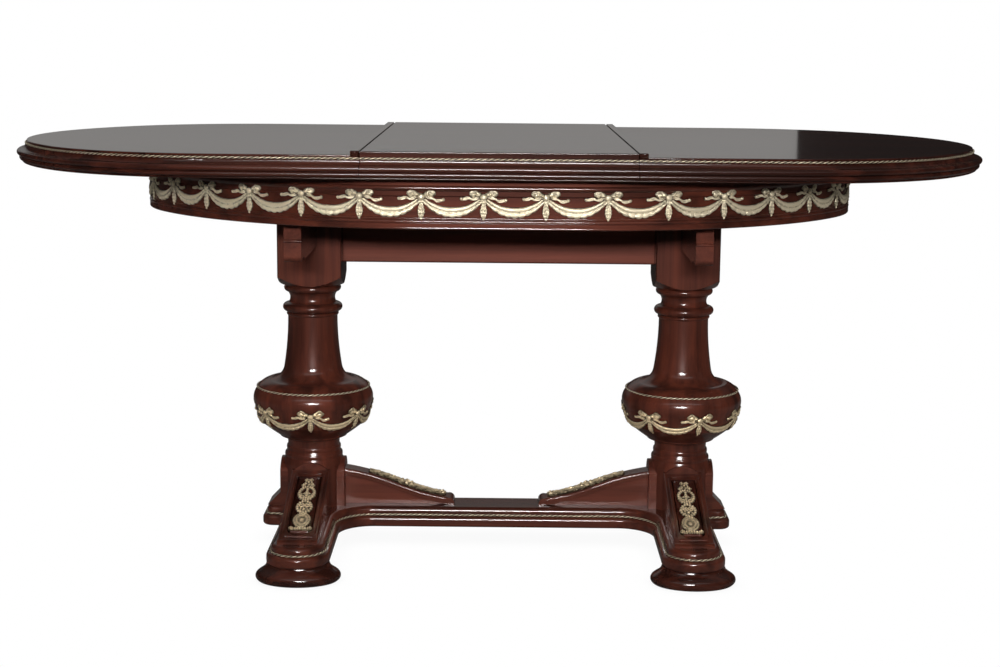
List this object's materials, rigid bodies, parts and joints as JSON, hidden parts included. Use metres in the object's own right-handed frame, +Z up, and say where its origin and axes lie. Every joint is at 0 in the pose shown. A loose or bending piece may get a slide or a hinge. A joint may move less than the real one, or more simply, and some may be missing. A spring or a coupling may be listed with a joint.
{
  "type": "double pedestal dining table",
  "caption": "Oval extending dining table on two turned vase pedestals, with a lift-out folding centre leaf, draw-out end tops and gilt garland mounts.",
  "frame": {"origin": "on the floor under the middle of the table", "axes": "+X along the table's length to the right, +Y to the rear, +Z up"},
  "size_m": [1.776, 0.992, 0.78],
  "materials": {
    "mahogany": "dark red-brown mahogany under a deep gloss lacquer",
    "frame_timber": "plain waxed beech of the hidden frame and slides",
    "gilt_brass": "pale gilt cast brass, softly worn",
    "fixings": "zinc plated steel screws and bolts"
  },
  "bodies": {
    "base": {"apron_bows": "gilt_brass", "apron_corner_blocks": "frame_timber", "apron_swags": "gilt_brass", "brace_mounts": "gilt_brass", "foot_pads": "mahogany", "frame_bolts": "fixings", "front_apron": "mahogany", "front_slide_guide": "frame_timber", "knee_mounts": "gilt_brass", "left_apron_end": "mahogany", "left_bearer": "mahogany", "left_brace_cap": "mahogany", "left_brace_web": "mahogany", "left_bulb_garland": "gilt_brass", "left_column": "mahogany", "left_cross_rail": "frame_timber", "left_front_knee": "mahogany", "left_outer_knee": "mahogany", "left_plinth": "mahogany", "left_rear_knee": "mahogany", "plinth_beads": "gilt_brass", "rear_apron": "mahogany", "rear_slide_guide": "frame_timber", "right_apron_end": "mahogany", "right_bearer": "mahogany", "right_brace_cap": "mahogany", "right_brace_web": "mahogany", "right_bulb_garland": "gilt_brass", "right_column": "mahogany", "right_cross_rail": "frame_timber", "right_front_knee": "mahogany", "right_outer_knee": "mahogany", "right_plinth": "mahogany", "right_rear_knee": "mahogany", "shoulder_beads": "gilt_brass", "slide_stops": "frame_timber", "stretcher": "mahogany", "top_rail": "mahogany"},
    "left_top": {"left_top_panel": "mahogany", "left_top_moulding": "mahogany", "left_top_bead": "gilt_brass", "left_joint_strip": "mahogany", "left_runners": "frame_timber", "left_runner_screws": "fixings"},
    "right_top": {"right_top_panel": "mahogany", "right_top_moulding": "mahogany", "right_top_bead": "gilt_brass", "right_joint_strip": "mahogany", "right_runners": "frame_timber", "right_runner_screws": "fixings"},
    "rear_leaf": {"rear_leaf_panel": "mahogany", "rear_leaf_moulding": "mahogany", "rear_leaf_bead": "gilt_brass", "rear_leaf_hinges": "gilt_brass"},
    "front_leaf": {"front_leaf_panel": "mahogany", "front_leaf_moulding": "mahogany", "front_leaf_bead": "gilt_brass", "front_leaf_hinges": "gilt_brass"}
  },
  "joints": [
    {"name": "left_top_draw", "type": "slide", "parent": "base", "child": "left_top", "axis": [-1, 0, 0], "range_m": [0, 0.03]},
    {"name": "right_top_draw", "type": "slide", "parent": "base", "child": "right_top", "axis": [1, 0, 0], "range_m": [0, 0.03]},
    {"name": "leaf_lift", "type": "slide", "parent": "base", "child": "rear_leaf", "axis": [0, 0, 1], "range_m": [0, 0.2]},
    {"name": "leaf_fold", "type": "hinge", "parent": "rear_leaf", "child": "front_leaf", "pos_m": [0, 0, 0.7803], "axis": [-1, 0, 0], "range_deg": [0, 180]}
  ]
}
